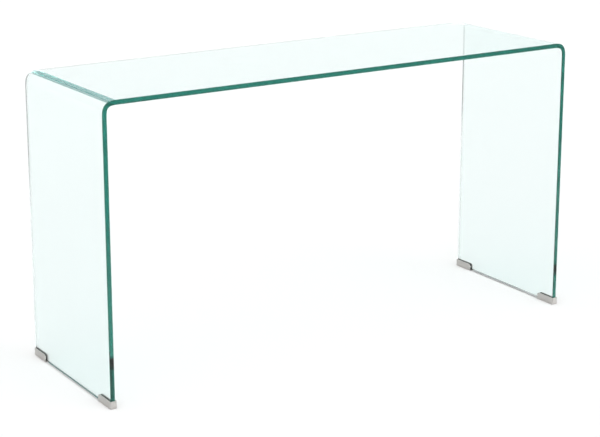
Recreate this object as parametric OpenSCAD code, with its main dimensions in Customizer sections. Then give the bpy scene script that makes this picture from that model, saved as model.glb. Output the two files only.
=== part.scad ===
// Waterfall console table: one bent sheet of clear glass standing on four corner shoes.
// Origin: on the floor under the centre of the table. +X runs along the top, +Y to the rear, +Z up.

/* [Table] */
// Length over the two glass legs, along X
table_length = 1400; // [900:10:1800]
// Depth of the glass sheet, front edge to rear edge, along Y
table_depth = 430; // [250:5:600]
// Height of the top surface above the floor
table_height = 750; // [400:5:900]

/* [Glass] */
// Thickness of the glass sheet
glass_thickness = 12; // [8:1:19]
// Inner radius of the two hot-bent corners
bend_inner_radius = 20; // [10:1:60]

/* [Shoe] */
// Length of a shoe along the leg's lower edge
shoe_length = 65; // [40:1:90]
// Height of a shoe from its underside to the rim of its cheeks
shoe_height = 19; // [14:1:40]
// Thickness of the metal: the two cheeks, the plate that closes the outer end and the base
shoe_wall = 2; // [1:0.25:3]
// Radius of the cheeks' upper corner at the open end
rim_corner_radius = 7; // [2:0.5:10]
// Radius of the two upright corners at the closed end
end_corner_radius = 1.5; // [0.5:0.5:3]

/* [Liner] */
// Thickness of the elastomer between the glass and the shoe
liner_thickness = 0.75; // [0.5:0.25:2]

/* [Glide] */
// Thickness of the felt pad under a shoe
glide_thickness = 1; // [1:0.5:3]
// Width of the felt pad
glide_width = 11; // [8:1:12]
// Distance from the pad's ends to the ends of the shoe
glide_inset = 5; // [3:1:10]

/* [Hidden] */
$fn = 96;

// Sides of the table: the corner modules are drawn at the front left and mirrored
LEFT = 1;
RIGHT = -1;
FRONT = 1;
REAR = -1;
// How far a cutting shape runs past the face that it opens
overcut = 1;

bend_outer_radius = bend_inner_radius + glass_thickness;
glass_bottom = glide_thickness + shoe_wall + liner_thickness;
glass_front = -table_depth / 2;
glass_left = -table_length / 2;

slot_width = glass_thickness + 2 * liner_thickness;
slot_left = glass_left - liner_thickness;
slot_front = glass_front - liner_thickness;
slot_bottom = glide_thickness + shoe_wall;
shoe_width = slot_width + 2 * shoe_wall;
shoe_left = slot_left - shoe_wall;
shoe_front = slot_front - shoe_wall;

GLASS_TINT = [0.74, 0.92, 0.88, 0.35];
SATIN_METAL = [0.74, 0.74, 0.73];
DARK_ELASTOMER = [0.20, 0.22, 0.21];
GREY_FELT = [0.42, 0.41, 0.40];

// An upright rectangle standing on the line y = bottom, with its two upper corners rounded
module arch_outline(half_width, bottom, top, radius) {
    translate([-half_width, bottom])
        square([2 * half_width, top - radius - bottom]);
    translate([-half_width + radius, bottom])
        square([2 * (half_width - radius), top - bottom]);
    for (side = [-1, 1])
        translate([side * (half_width - radius), top - radius])
            circle(radius);
}

// The bent sheet: its end view, drawn out along the table's depth
module glass_sheet() {
    color(GLASS_TINT)
        rotate([90, 0, 0])
            linear_extrude(table_depth, center = true)
                difference() {
                    arch_outline(table_length / 2, glass_bottom, table_height, bend_outer_radius);
                    arch_outline(table_length / 2 - glass_thickness, glass_bottom - overcut,
                        table_height - glass_thickness, bend_inner_radius);
                }
}

// Moves a piece that is drawn at the front left to another corner of the table
module at_corner(side, end) {
    mirror([side == RIGHT ? 1 : 0, 0, 0])
        mirror([0, end == REAR ? 1 : 0, 0])
            children();
}

// Side view of a shoe or liner: a plate with its upper corner rounded at the open end
module side_outline(length, height) {
    square([length - rim_corner_radius, height]);
    square([length, height - rim_corner_radius]);
    translate([length - rim_corner_radius, height - rim_corner_radius])
        circle(rim_corner_radius);
}

// The side view made solid, standing at the given front, left and bottom and reaching the open end
module clasp_block(left, front, bottom, width) {
    translate([left, front, bottom])
        rotate([90, 0, 90])
            linear_extrude(width)
                side_outline(shoe_front + shoe_length - front, glide_thickness + shoe_height - bottom);
}

// Plan view of a shoe: a rectangle with its two corners rounded at the closed end
module plan_outline() {
    translate([shoe_left, shoe_front + end_corner_radius])
        square([shoe_width, shoe_length - end_corner_radius]);
    translate([shoe_left + end_corner_radius, shoe_front])
        square([shoe_width - 2 * end_corner_radius, shoe_length]);
    for (x = [shoe_left + end_corner_radius, shoe_left + shoe_width - end_corner_radius])
        translate([x, shoe_front + end_corner_radius])
            circle(end_corner_radius);
}

// A shoe clasps the last stretch of a leg's lower edge from both sides, the end and below
module shoe(side, end) {
    color(SATIN_METAL)
        at_corner(side, end)
            difference() {
                intersection() {
                    clasp_block(shoe_left, shoe_front, glide_thickness, shoe_width);
                    translate([0, 0, glide_thickness])
                        linear_extrude(shoe_height)
                            plan_outline();
                }
                translate([slot_left, slot_front, slot_bottom])
                    cube([slot_width, shoe_length, shoe_height]);
            }
}

// A liner fills the slot of its shoe round the glass and ends flush with the shoe's rim
module liner(side, end) {
    color(DARK_ELASTOMER)
        at_corner(side, end)
            difference() {
                clasp_block(slot_left, slot_front, slot_bottom, slot_width);
                translate([glass_left, glass_front, glass_bottom])
                    cube([glass_thickness, shoe_length, shoe_height]);
            }
}

// A glide is a round-ended pad in the middle of the shoe's underside
module glide(side, end) {
    pad_length = shoe_length - 2 * glide_inset;
    end_radius = glide_width / 2;
    color(GREY_FELT)
        at_corner(side, end)
            translate([shoe_left + shoe_width / 2, shoe_front + glide_inset, 0])
                linear_extrude(glide_thickness) {
                    translate([-end_radius, end_radius])
                        square([glide_width, pad_length - glide_width]);
                    for (y = [end_radius, pad_length - end_radius])
                        translate([0, y])
                            circle(end_radius);
                }
}

module front_left_shoe() shoe(LEFT, FRONT);
module rear_left_shoe() shoe(LEFT, REAR);
module front_right_shoe() shoe(RIGHT, FRONT);
module rear_right_shoe() shoe(RIGHT, REAR);

module front_left_liner() liner(LEFT, FRONT);
module rear_left_liner() liner(LEFT, REAR);
module front_right_liner() liner(RIGHT, FRONT);
module rear_right_liner() liner(RIGHT, REAR);

module front_left_glide() glide(LEFT, FRONT);
module rear_left_glide() glide(LEFT, REAR);
module front_right_glide() glide(RIGHT, FRONT);
module rear_right_glide() glide(RIGHT, REAR);

glass_sheet();
front_left_shoe();
rear_left_shoe();
front_right_shoe();
rear_right_shoe();
front_left_liner();
rear_left_liner();
front_right_liner();
rear_right_liner();
front_left_glide();
rear_left_glide();
front_right_glide();
rear_right_glide();
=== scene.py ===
"""A waterfall console table: one bent sheet of clear glass on four satin metal corner shoes."""
import math
import bmesh
import bpy
from mathutils import Matrix, Vector


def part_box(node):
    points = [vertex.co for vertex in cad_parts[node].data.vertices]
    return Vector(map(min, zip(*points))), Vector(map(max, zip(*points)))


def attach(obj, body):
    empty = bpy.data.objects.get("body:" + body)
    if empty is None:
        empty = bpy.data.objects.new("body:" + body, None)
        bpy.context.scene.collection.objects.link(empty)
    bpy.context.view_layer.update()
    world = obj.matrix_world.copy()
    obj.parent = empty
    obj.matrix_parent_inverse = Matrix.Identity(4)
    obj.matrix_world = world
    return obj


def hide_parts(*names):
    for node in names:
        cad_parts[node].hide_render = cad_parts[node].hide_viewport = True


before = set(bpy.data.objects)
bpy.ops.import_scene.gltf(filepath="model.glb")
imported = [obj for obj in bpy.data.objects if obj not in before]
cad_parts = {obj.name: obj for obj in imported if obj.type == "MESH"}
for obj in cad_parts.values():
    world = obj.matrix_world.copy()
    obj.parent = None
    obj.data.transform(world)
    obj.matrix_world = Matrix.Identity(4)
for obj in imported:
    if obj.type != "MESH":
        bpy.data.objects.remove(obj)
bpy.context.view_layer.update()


# ---- Glass sheet -----------------------------------------------------------------------------
# Top and legs are one sheet of 12 mm clear float glass. Its edges are ground and polished flat,
# each with a small arris; then it is bent hot over a mould, which eases each bend into the flats.

MM = 0.001
GLASS_THICKNESS = 12 * MM
ARRIS = 1.0 * MM
BEND_ARCS = ((12, 60), (66, 14), (12, 60))  # degrees turned and inner radius in mm, in order
BEND_STEP = 1.5  # degrees between two rows of points in a bend
FLAT_STRIP = 2 * MM  # a narrow row beside each bend, so that the flats are shaded flat
RIM_ANGLE = 60  # degrees: only the sheet's own rims are sharper than this, and they get the arris
SMOOTH_ANGLE = 20  # degrees: wider than a step of a bend and narrower than an arris
MERGE_DISTANCE = MM / 1000
ROLLER_WAVE = 60 * MM
WAVE_HEIGHT = 0.04 * MM


def linear(hex_code):
    """An sRGB hex colour as linear red, green, blue and alpha."""
    parts = [int(hex_code[i:i + 2], 16) / 255 for i in (0, 2, 4)]
    return [p / 12.92 if p <= 0.04045 else ((p + 0.055) / 1.055) ** 2.4 for p in parts] + [1.0]


def add(tree, kind, inputs=None, links=None, **settings):
    """Adds a node, sets its properties and input values, and joins the sockets given in links."""
    made = tree.nodes.new(kind)
    for name, value in settings.items():
        setattr(made, name, value)
    for name, value in (inputs or {}).items():
        made.inputs[name].default_value = value
    for name, socket in (links or {}).items():
        tree.links.new(socket, made.inputs[name])
    return made


def new_material(name):
    """An empty node material and its tree, ready for a shader."""
    material = bpy.data.materials.new(name)
    material.use_nodes = True
    material.node_tree.nodes.clear()
    return material, material.node_tree


def float_glass():
    """Clear float glass, tempered on rollers: iron makes it faint mint on the face and deep teal
    edge on. The rollers leave a slight wave, and a trace of roughness softens what the bends
    mirror."""
    material, tree = new_material("clear_float_glass")
    place = add(tree, "ShaderNodeTexCoord")
    wave = add(tree, "ShaderNodeTexNoise", {"Scale": 1 / ROLLER_WAVE, "Detail": 1.0},
               {"Vector": place.outputs["Object"]})
    ripple = add(tree, "ShaderNodeBump", {"Strength": 1.0, "Distance": WAVE_HEIGHT},
                 {"Height": wave.outputs["Fac"]})
    glass = add(tree, "ShaderNodeBsdfPrincipled", {
        "Base Color": linear("FFFFFF"), "Roughness": 0.03, "IOR": 1.52,
        "Transmission Weight": 1.0}, {"Normal": ripple.outputs["Normal"]})
    tint = add(tree, "ShaderNodeVolumeAbsorption", {"Color": linear("76D7CF"), "Density": 10.8})
    add(tree, "ShaderNodeOutputMaterial", links={
        "Surface": glass.outputs["BSDF"], "Volume": tint.outputs["Volume"]})
    return material


def finish_piece(name, bm, material, node):
    """Makes a bmesh into a piece of the table that stands for one CAD node."""
    bmesh.ops.remove_doubles(bm, verts=bm.verts, dist=MERGE_DISTANCE)
    bmesh.ops.recalc_face_normals(bm, faces=bm.faces)
    mesh = bpy.data.meshes.new(name)
    bm.to_mesh(mesh)
    bm.free()
    mesh.materials.append(material)
    piece = bpy.data.objects.new(name, mesh)
    bpy.context.scene.collection.objects.link(piece)
    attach(piece, "root")
    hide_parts(node)
    return piece


def moved_points(made):
    """The points among the parts that a bmesh operator has just made."""
    return [part for part in made if isinstance(part, bmesh.types.BMVert)]


def draw_flat(bm, ends, step):
    """Draws the glass's thickness, the line between two ends, on by one straight step."""
    made = bmesh.ops.extrude_edge_only(bm, edges=[bm.edges.get(ends)])["geom"]
    new_ends = sorted(moved_points(made), key=lambda v: (v.co - ends[0].co).length)
    bmesh.ops.translate(bm, verts=new_ends, vec=step)
    return new_ends


def draw_bend(bm, ends):
    """Turns the glass's thickness through a right angle: a gentle arc, a tight one, a gentle one."""
    for degrees, radius in BEND_ARCS:
        inward = (ends[1].co - ends[0].co).normalized()
        centre = ends[1].co + inward * radius * MM
        made = bmesh.ops.spin(bm, geom=[bm.edges.get(ends), *ends], cent=centre, axis=(0, 1, 0),
                              angle=math.radians(degrees), steps=round(degrees / BEND_STEP))
        ends = sorted(moved_points(made["geom_last"]), key=lambda v: -(v.co - centre).length)
    return ends


def bend_reach():
    """How far a bend's outer face reaches from where the leg's flat ends, across or up."""
    turned, reach = 0, 0
    for degrees, radius in BEND_ARCS:
        start, end = math.radians(turned), math.radians(turned + degrees)
        reach += (radius * MM + GLASS_THICKNESS) * (math.cos(start) - math.cos(end))
        turned += degrees
    return reach


def glass_sheet():
    """Draws the sheet's end view from foot to foot, then draws it out to the table's depth."""
    low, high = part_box("glass_sheet")
    bm = bmesh.new()
    ends = [bm.verts.new((low.x, low.y, low.z)),
            bm.verts.new((low.x + GLASS_THICKNESS, low.y, low.z))]
    bm.edges.new(ends)
    leg = high.z - low.z - bend_reach() - FLAT_STRIP
    top = high.x - low.x - 2 * bend_reach() - 2 * FLAT_STRIP
    ends = draw_flat(bm, ends, (0, 0, leg))
    ends = draw_flat(bm, ends, (0, 0, FLAT_STRIP))
    ends = draw_bend(bm, ends)
    ends = draw_flat(bm, ends, (FLAT_STRIP, 0, 0))
    ends = draw_flat(bm, ends, (top, 0, 0))
    ends = draw_flat(bm, ends, (FLAT_STRIP, 0, 0))
    ends = draw_bend(bm, ends)
    ends = draw_flat(bm, ends, (0, 0, -FLAT_STRIP))
    draw_flat(bm, ends, (0, 0, -leg))

    drawn = bmesh.ops.extrude_face_region(bm, geom=bm.faces[:])["geom"]
    bmesh.ops.translate(bm, verts=moved_points(drawn), vec=(0, high.y - low.y, 0))
    bmesh.ops.recalc_face_normals(bm, faces=bm.faces)
    rims = [e for e in bm.edges if len(e.link_faces) == 2
            and e.calc_face_angle() > math.radians(RIM_ANGLE)]
    bmesh.ops.bevel(bm, geom=rims, affect="EDGES", offset=ARRIS, offset_type="OFFSET",
                    segments=1, profile=0.5, material=-1, clamp_overlap=True)
    for face in bm.faces:
        face.smooth = True
    for edge in bm.edges:
        edge.smooth = edge.calc_face_angle(0) < math.radians(SMOOTH_ANGLE)
    finish_piece("glass", bm, float_glass(), "glass_sheet")


glass_sheet()


# ---- Corner shoes ----------------------------------------------------------------------------
# Each leg stands in two shoes of satin stainless steel, folded from one blank: two cheeks that
# clasp the glass, a plate over its upright edge and a base. Each cheek's free top corner is round.

CORNERS = ("front_left", "rear_left", "front_right", "rear_right")
SHOE_WALL = 2 * MM
RIM_CORNER = 7 * MM  # radius at the free top corner of each cheek
RIM_FACETS = 8
END_CORNER = 1.5 * MM  # radius of the upright folds at the closed end
END_FACETS = 4
SHOE_EDGE = 0.35 * MM
EDGE_FACETS = 2
EDGE_ANGLE = 40  # degrees: the folds' facets are flatter than this and stay as they are
TOUCH = MM / 100  # nearer than this counts as lying on a side
STREAK_LENGTH = 25 * MM
STREAK_WIDTH = 0.5 * MM  # a real satin grain is finer; this is as fine as shows from close by
STREAK_DEPTH = 0.12 * MM


def satin_steel():
    """Stainless steel, brushed along the blank before it is folded: the grain runs level round
    the shoe, so each face takes a soft upright smear of what stands before it."""
    material, tree = new_material("satin_stainless_steel")
    place = add(tree, "ShaderNodeTexCoord")
    along = (1 / STREAK_LENGTH, 1 / STREAK_LENGTH, 1 / STREAK_WIDTH)
    stretch = add(tree, "ShaderNodeMapping", {"Scale": along}, {"Vector": place.outputs["Object"]})
    brushing = add(tree, "ShaderNodeTexNoise", {"Scale": 1.0, "Detail": 3.0},
                   {"Vector": stretch.outputs["Vector"]})
    tone = add(tree, "ShaderNodeValToRGB", links={"Fac": brushing.outputs["Fac"]})
    tone.color_ramp.elements[0].color = linear("B3B0AD")
    tone.color_ramp.elements[1].color = linear("CECBC8")
    gloss = add(tree, "ShaderNodeMapRange", {"To Min": 0.3, "To Max": 0.44},
                {"Value": brushing.outputs["Fac"]})
    grain = add(tree, "ShaderNodeBump", {"Strength": 1.0, "Distance": STREAK_DEPTH},
                {"Height": brushing.outputs["Fac"]})
    steel = add(tree, "ShaderNodeBsdfPrincipled", {"Metallic": 1.0},
                {"Base Color": tone.outputs["Color"], "Roughness": gloss.outputs["Result"],
                 "Normal": grain.outputs["Normal"]})
    add(tree, "ShaderNodeOutputMaterial", links={"Surface": steel.outputs["BSDF"]})
    return material


def open_tray(low, high, closed_y, round_corner, round_end):
    """A base, two cheeks and one end as a shell without thickness, cut from a block."""
    bm = bmesh.new()
    middle = Matrix.Translation((low + high) / 2)
    size = Matrix.Diagonal((*(high - low), 1))
    bmesh.ops.create_cube(bm, size=1, matrix=middle @ size)
    open_y = low.y + high.y - closed_y
    open_sides = [f for f in bm.faces if f.calc_center_median().z > high.z - TOUCH
                  or abs(f.calc_center_median().y - open_y) < TOUCH]
    bmesh.ops.delete(bm, geom=open_sides, context="FACES")
    folds = [e for e in bm.edges if all(abs(v.co.y - closed_y) < TOUCH for v in e.verts)
             and abs(e.verts[0].co.z - e.verts[1].co.z) > TOUCH]
    bmesh.ops.bevel(bm, geom=folds, affect="EDGES", offset=round_end, segments=END_FACETS,
                    profile=0.5, material=-1)
    tips = [v for v in bm.verts if abs(v.co.y - open_y) < TOUCH and v.co.z > high.z - TOUCH]
    bmesh.ops.bevel(bm, geom=tips, affect="VERTICES", offset=round_corner, segments=RIM_FACETS,
                    profile=0.5, material=-1)
    return bm


def give_wall(piece, thickness):
    """Thickens a shell inwards, so that its outer faces stay where they are."""
    wall = piece.modifiers.new("wall", "SOLIDIFY")
    wall.thickness = thickness
    wall.offset = -1
    wall.use_even_offset = True


def corner_shoe(corner, steel):
    """One shoe, its wall and the small round that deburring leaves on every edge."""
    low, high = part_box(f"{corner}_shoe")
    closed_y = low.y if corner.startswith("front") else high.y
    bm = open_tray(low, high, closed_y, RIM_CORNER, END_CORNER)
    shoe = finish_piece(f"shoe_{corner}", bm, steel, f"{corner}_shoe")
    give_wall(shoe, SHOE_WALL)
    edges = shoe.modifiers.new("edges", "BEVEL")
    edges.width = SHOE_EDGE
    edges.segments = EDGE_FACETS
    edges.limit_method = "ANGLE"
    edges.angle_limit = math.radians(EDGE_ANGLE)


steel = satin_steel()
for corner in CORNERS:
    corner_shoe(corner, steel)


# ---- Liners ----------------------------------------------------------------------------------
# A dark rubber channel lies between each shoe and the glass, so that glass never touches metal.
# It is cut flush with the shoe's rim and shows there as a dark line.

LINER_THICKNESS = 0.75 * MM
LINER_PLAY = 0.03 * MM
LINER_FOLD = 0.2 * MM  # radius of the upright folds at the closed end
RUBBER_GRAIN = 0.25 * MM
RUBBER_RELIEF = 0.02 * MM


def dark_rubber():
    """Extruded EPDM rubber: almost black and matt, with the fine grain of its die."""
    material, tree = new_material("dark_epdm_rubber")
    place = add(tree, "ShaderNodeTexCoord")
    grain = add(tree, "ShaderNodeTexNoise", {"Scale": 1 / RUBBER_GRAIN, "Detail": 2.0},
                {"Vector": place.outputs["Object"]})
    tone = add(tree, "ShaderNodeValToRGB", links={"Fac": grain.outputs["Fac"]})
    tone.color_ramp.elements[0].color = linear("2A2D2B")
    tone.color_ramp.elements[1].color = linear("3A3E3B")
    relief = add(tree, "ShaderNodeBump", {"Strength": 0.3, "Distance": RUBBER_RELIEF},
                 {"Height": grain.outputs["Fac"]})
    rubber = add(tree, "ShaderNodeBsdfPrincipled", {"Roughness": 0.65, "IOR": 1.5},
                 {"Base Color": tone.outputs["Color"], "Normal": relief.outputs["Normal"]})
    add(tree, "ShaderNodeOutputMaterial", links={"Surface": rubber.outputs["BSDF"]})
    return material


def liner(corner, rubber):
    """One channel, a hair thinner than the gap it fills so that its faces stay clear of both."""
    low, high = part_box(f"{corner}_liner")
    play = Vector((LINER_PLAY, LINER_PLAY, LINER_PLAY))
    low, high = low + play, high - play
    closed_y = low.y if corner.startswith("front") else high.y
    bm = open_tray(low, high, closed_y, RIM_CORNER, LINER_FOLD)
    channel = finish_piece(f"liner_{corner}", bm, rubber, f"{corner}_liner")
    give_wall(channel, LINER_THICKNESS - 2 * LINER_PLAY)


rubber = dark_rubber()
for corner in CORNERS:
    liner(corner, rubber)


# ---- Glides ----------------------------------------------------------------------------------
# A round-ended pad of pressed wool felt, punched from sheet, is stuck under each shoe to spare
# the floor.

GLIDE_POINTS = 32  # points round the disc that the pad starts from
FELT_FIBRES = 0.7 * MM
FELT_RELIEF = 0.2 * MM


def grey_felt():
    """Pressed wool felt: a matt mat of crossing fibres, mottled grey."""
    material, tree = new_material("grey_wool_felt")
    place = add(tree, "ShaderNodeTexCoord")
    fibres = add(tree, "ShaderNodeTexNoise",
                 {"Scale": 1 / FELT_FIBRES, "Detail": 6.0, "Distortion": 1.5},
                 {"Vector": place.outputs["Object"]})
    tone = add(tree, "ShaderNodeValToRGB", links={"Fac": fibres.outputs["Fac"]})
    tone.color_ramp.elements[0].color = linear("5E5C59")
    tone.color_ramp.elements[1].color = linear("8A8783")
    relief = add(tree, "ShaderNodeBump", {"Strength": 0.6, "Distance": FELT_RELIEF},
                 {"Height": fibres.outputs["Fac"]})
    felt = add(tree, "ShaderNodeBsdfPrincipled", {"Roughness": 0.95, "Sheen Weight": 0.3},
               {"Base Color": tone.outputs["Color"], "Normal": relief.outputs["Normal"]})
    add(tree, "ShaderNodeOutputMaterial", links={"Surface": felt.outputs["BSDF"]})
    return material


def glide(corner, felt):
    """One pad: a disc pulled long, then raised to its thickness."""
    low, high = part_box(f"{corner}_glide")
    radius = (high.x - low.x) / 2
    bm = bmesh.new()
    bmesh.ops.create_circle(bm, cap_ends=True, segments=GLIDE_POINTS, radius=radius)
    far_half = [v for v in bm.verts if v.co.y > TOUCH]
    bmesh.ops.translate(bm, verts=far_half, vec=(0, high.y - low.y - 2 * radius, 0))
    bmesh.ops.translate(bm, verts=bm.verts, vec=(low.x + radius, low.y + radius, low.z))
    raised = bmesh.ops.extrude_face_region(bm, geom=bm.faces[:])["geom"]
    bmesh.ops.translate(bm, verts=moved_points(raised), vec=(0, 0, high.z - low.z))
    finish_piece(f"glide_{corner}", bm, felt, f"{corner}_glide")


felt = grey_felt()
for corner in CORNERS:
    glide(corner, felt)


# ---- Studio ----------------------------------------------------------------------------------
# A broad pale floor has painted shade that deepens it to grey well in front of the table, standing
# for light falling off toward the front, and the rear edges mirror that as thin grey lines. The
# light is an even glow from all round. Far off in it hang a teal card, which the left bend mirrors
# as its band, and a low bright strip, which lights the shoes' front ends.

FLOOR_HALF = 60  # metres from the middle to each side
FLOOR_WHITE = 0.96  # how much light the floor gives back, round and behind the table
FLOOR_FRONT_SHADE = 0.5  # and far in front of it, where painted shade darkens it
FRONT_SHADE_STARTS = -1.0  # Y where the painted shade on the front floor begins
FRONT_SHADE_ENDS = -1.9  # Y where the painted shade has its full grey
DOME_GLOW = (1.06, 1.06, 1.06, 1)
CARD_GLOW = (0.0, 0.26, 0.25, 1)
STRIP_GLOW = (12.0, 12.0, 12.0, 1)
# Each side of card and strip: an axis of the direction in which they lie, the value where they
# have not begun, and the value where they are full.
CARD_SIDES = (("Z", 0.215, 0.235), ("Z", 0.43, 0.41), ("X", -0.02, 0.02), ("Y", 0.79, 0.81))
STRIP_SIDES = (("Z", -0.02, 0.0), ("Z", 0.125, 0.1), ("X", 0.2, 0.3), ("Y", -0.4, -0.5))
# A colour mix has sockets that share their names with others, so they go by their places.
MIX_COVER = 0
MIX_UNDER = 6
MIX_OVER = 7
MIX_RESULT = 2


def studio_floor():
    """Matt white paint, with painted shade deepening it to grey in front of the table."""
    material, tree = new_material("studio_floor")
    place = add(tree, "ShaderNodeTexCoord")
    split = add(tree, "ShaderNodeSeparateXYZ", links={"Vector": place.outputs["Object"]})
    # Painted shade: the floor's colour darkens toward the front, standing for light that falls off
    # there.
    tone = add(tree, "ShaderNodeMapRange", {
        "From Min": FRONT_SHADE_ENDS, "From Max": FRONT_SHADE_STARTS,
        "To Min": FLOOR_FRONT_SHADE, "To Max": FLOOR_WHITE},
        {"Value": split.outputs["Y"]}, interpolation_type="SMOOTHSTEP")
    paint = add(tree, "ShaderNodeBsdfDiffuse", {"Roughness": 1.0},
                {"Color": tone.outputs["Result"]})
    add(tree, "ShaderNodeOutputMaterial", links={"Surface": paint.outputs["BSDF"]})
    bm = bmesh.new()
    bmesh.ops.create_grid(bm, x_segments=1, y_segments=1, size=FLOOR_HALF)
    mesh = bpy.data.meshes.new("floor")
    bm.to_mesh(mesh)
    bm.free()
    mesh.materials.append(material)
    floor = bpy.data.objects.new("floor", mesh)
    bpy.context.scene.collection.objects.link(floor)


def soft_edged(tree, split, sides):
    """How fully card or strip fills each direction: all its sides multiplied, from 0 to 1."""
    fills = [add(tree, "ShaderNodeMapRange", {"From Min": outside, "From Max": inside},
                 {"Value": split.outputs[axis]}).outputs["Result"]
             for axis, outside, inside in sides]
    cover = fills[0]
    for fill in fills[1:]:
        cover = add(tree, "ShaderNodeMath", links={0: cover, 1: fill},
                    operation="MULTIPLY").outputs["Value"]
    return cover


def soft_dome():
    """An even glow all round and overhead, and in it the card and the strip."""
    world = bpy.data.worlds.new("studio")
    world.use_nodes = True
    tree = world.node_tree
    tree.nodes.clear()
    place = add(tree, "ShaderNodeTexCoord")
    split = add(tree, "ShaderNodeSeparateXYZ", links={"Vector": place.outputs["Generated"]})
    card = add(tree, "ShaderNodeMix", {MIX_UNDER: DOME_GLOW, MIX_OVER: CARD_GLOW},
               {MIX_COVER: soft_edged(tree, split, CARD_SIDES)}, data_type="RGBA")
    strip = add(tree, "ShaderNodeMix", {MIX_OVER: STRIP_GLOW},
                {MIX_COVER: soft_edged(tree, split, STRIP_SIDES),
                 MIX_UNDER: card.outputs[MIX_RESULT]}, data_type="RGBA")
    light = add(tree, "ShaderNodeBackground", {"Strength": 1.0},
                {"Color": strip.outputs[MIX_RESULT]})
    add(tree, "ShaderNodeOutputWorld", links={"Surface": light.outputs["Background"]})
    bpy.context.scene.world = world


studio_floor()
soft_dome()

scene = bpy.context.scene
scene.view_settings.view_transform = "Standard"
scene.cycles.max_bounces = 64
scene.cycles.glossy_bounces = 48
scene.cycles.transmission_bounces = 48
scene.cycles.blur_glossy = 0.0  # the floor under the glass keeps the light that came through


# ---- Camera ----------------------------------------------------------------------------------
# Front left of the table and a little above it, with a long lens. It is turned 33 degrees from
# straight in front and looks down by about 14.

SENSOR_WIDTH = 36  # mm, and so is the lens
LENS_LENGTH = 98.4
LENS_SHIFT = -0.1  # as a part of the width
AZIMUTH = math.radians(-33.0)
ELEVATION = math.radians(14.15)
STAND = Vector((-2.306, -3.515, 1.535))

lens = bpy.data.cameras.new("camera")
lens.sensor_width = SENSOR_WIDTH
lens.lens = LENS_LENGTH
lens.shift_y = LENS_SHIFT
camera = bpy.data.objects.new("camera", lens)
scene.collection.objects.link(camera)
back = Vector((math.sin(AZIMUTH) * math.cos(ELEVATION),
               -math.cos(AZIMUTH) * math.cos(ELEVATION), math.sin(ELEVATION)))
camera.location = STAND
camera.rotation_euler = (-back).to_track_quat("-Z", "Y").to_euler()
scene.camera = camera
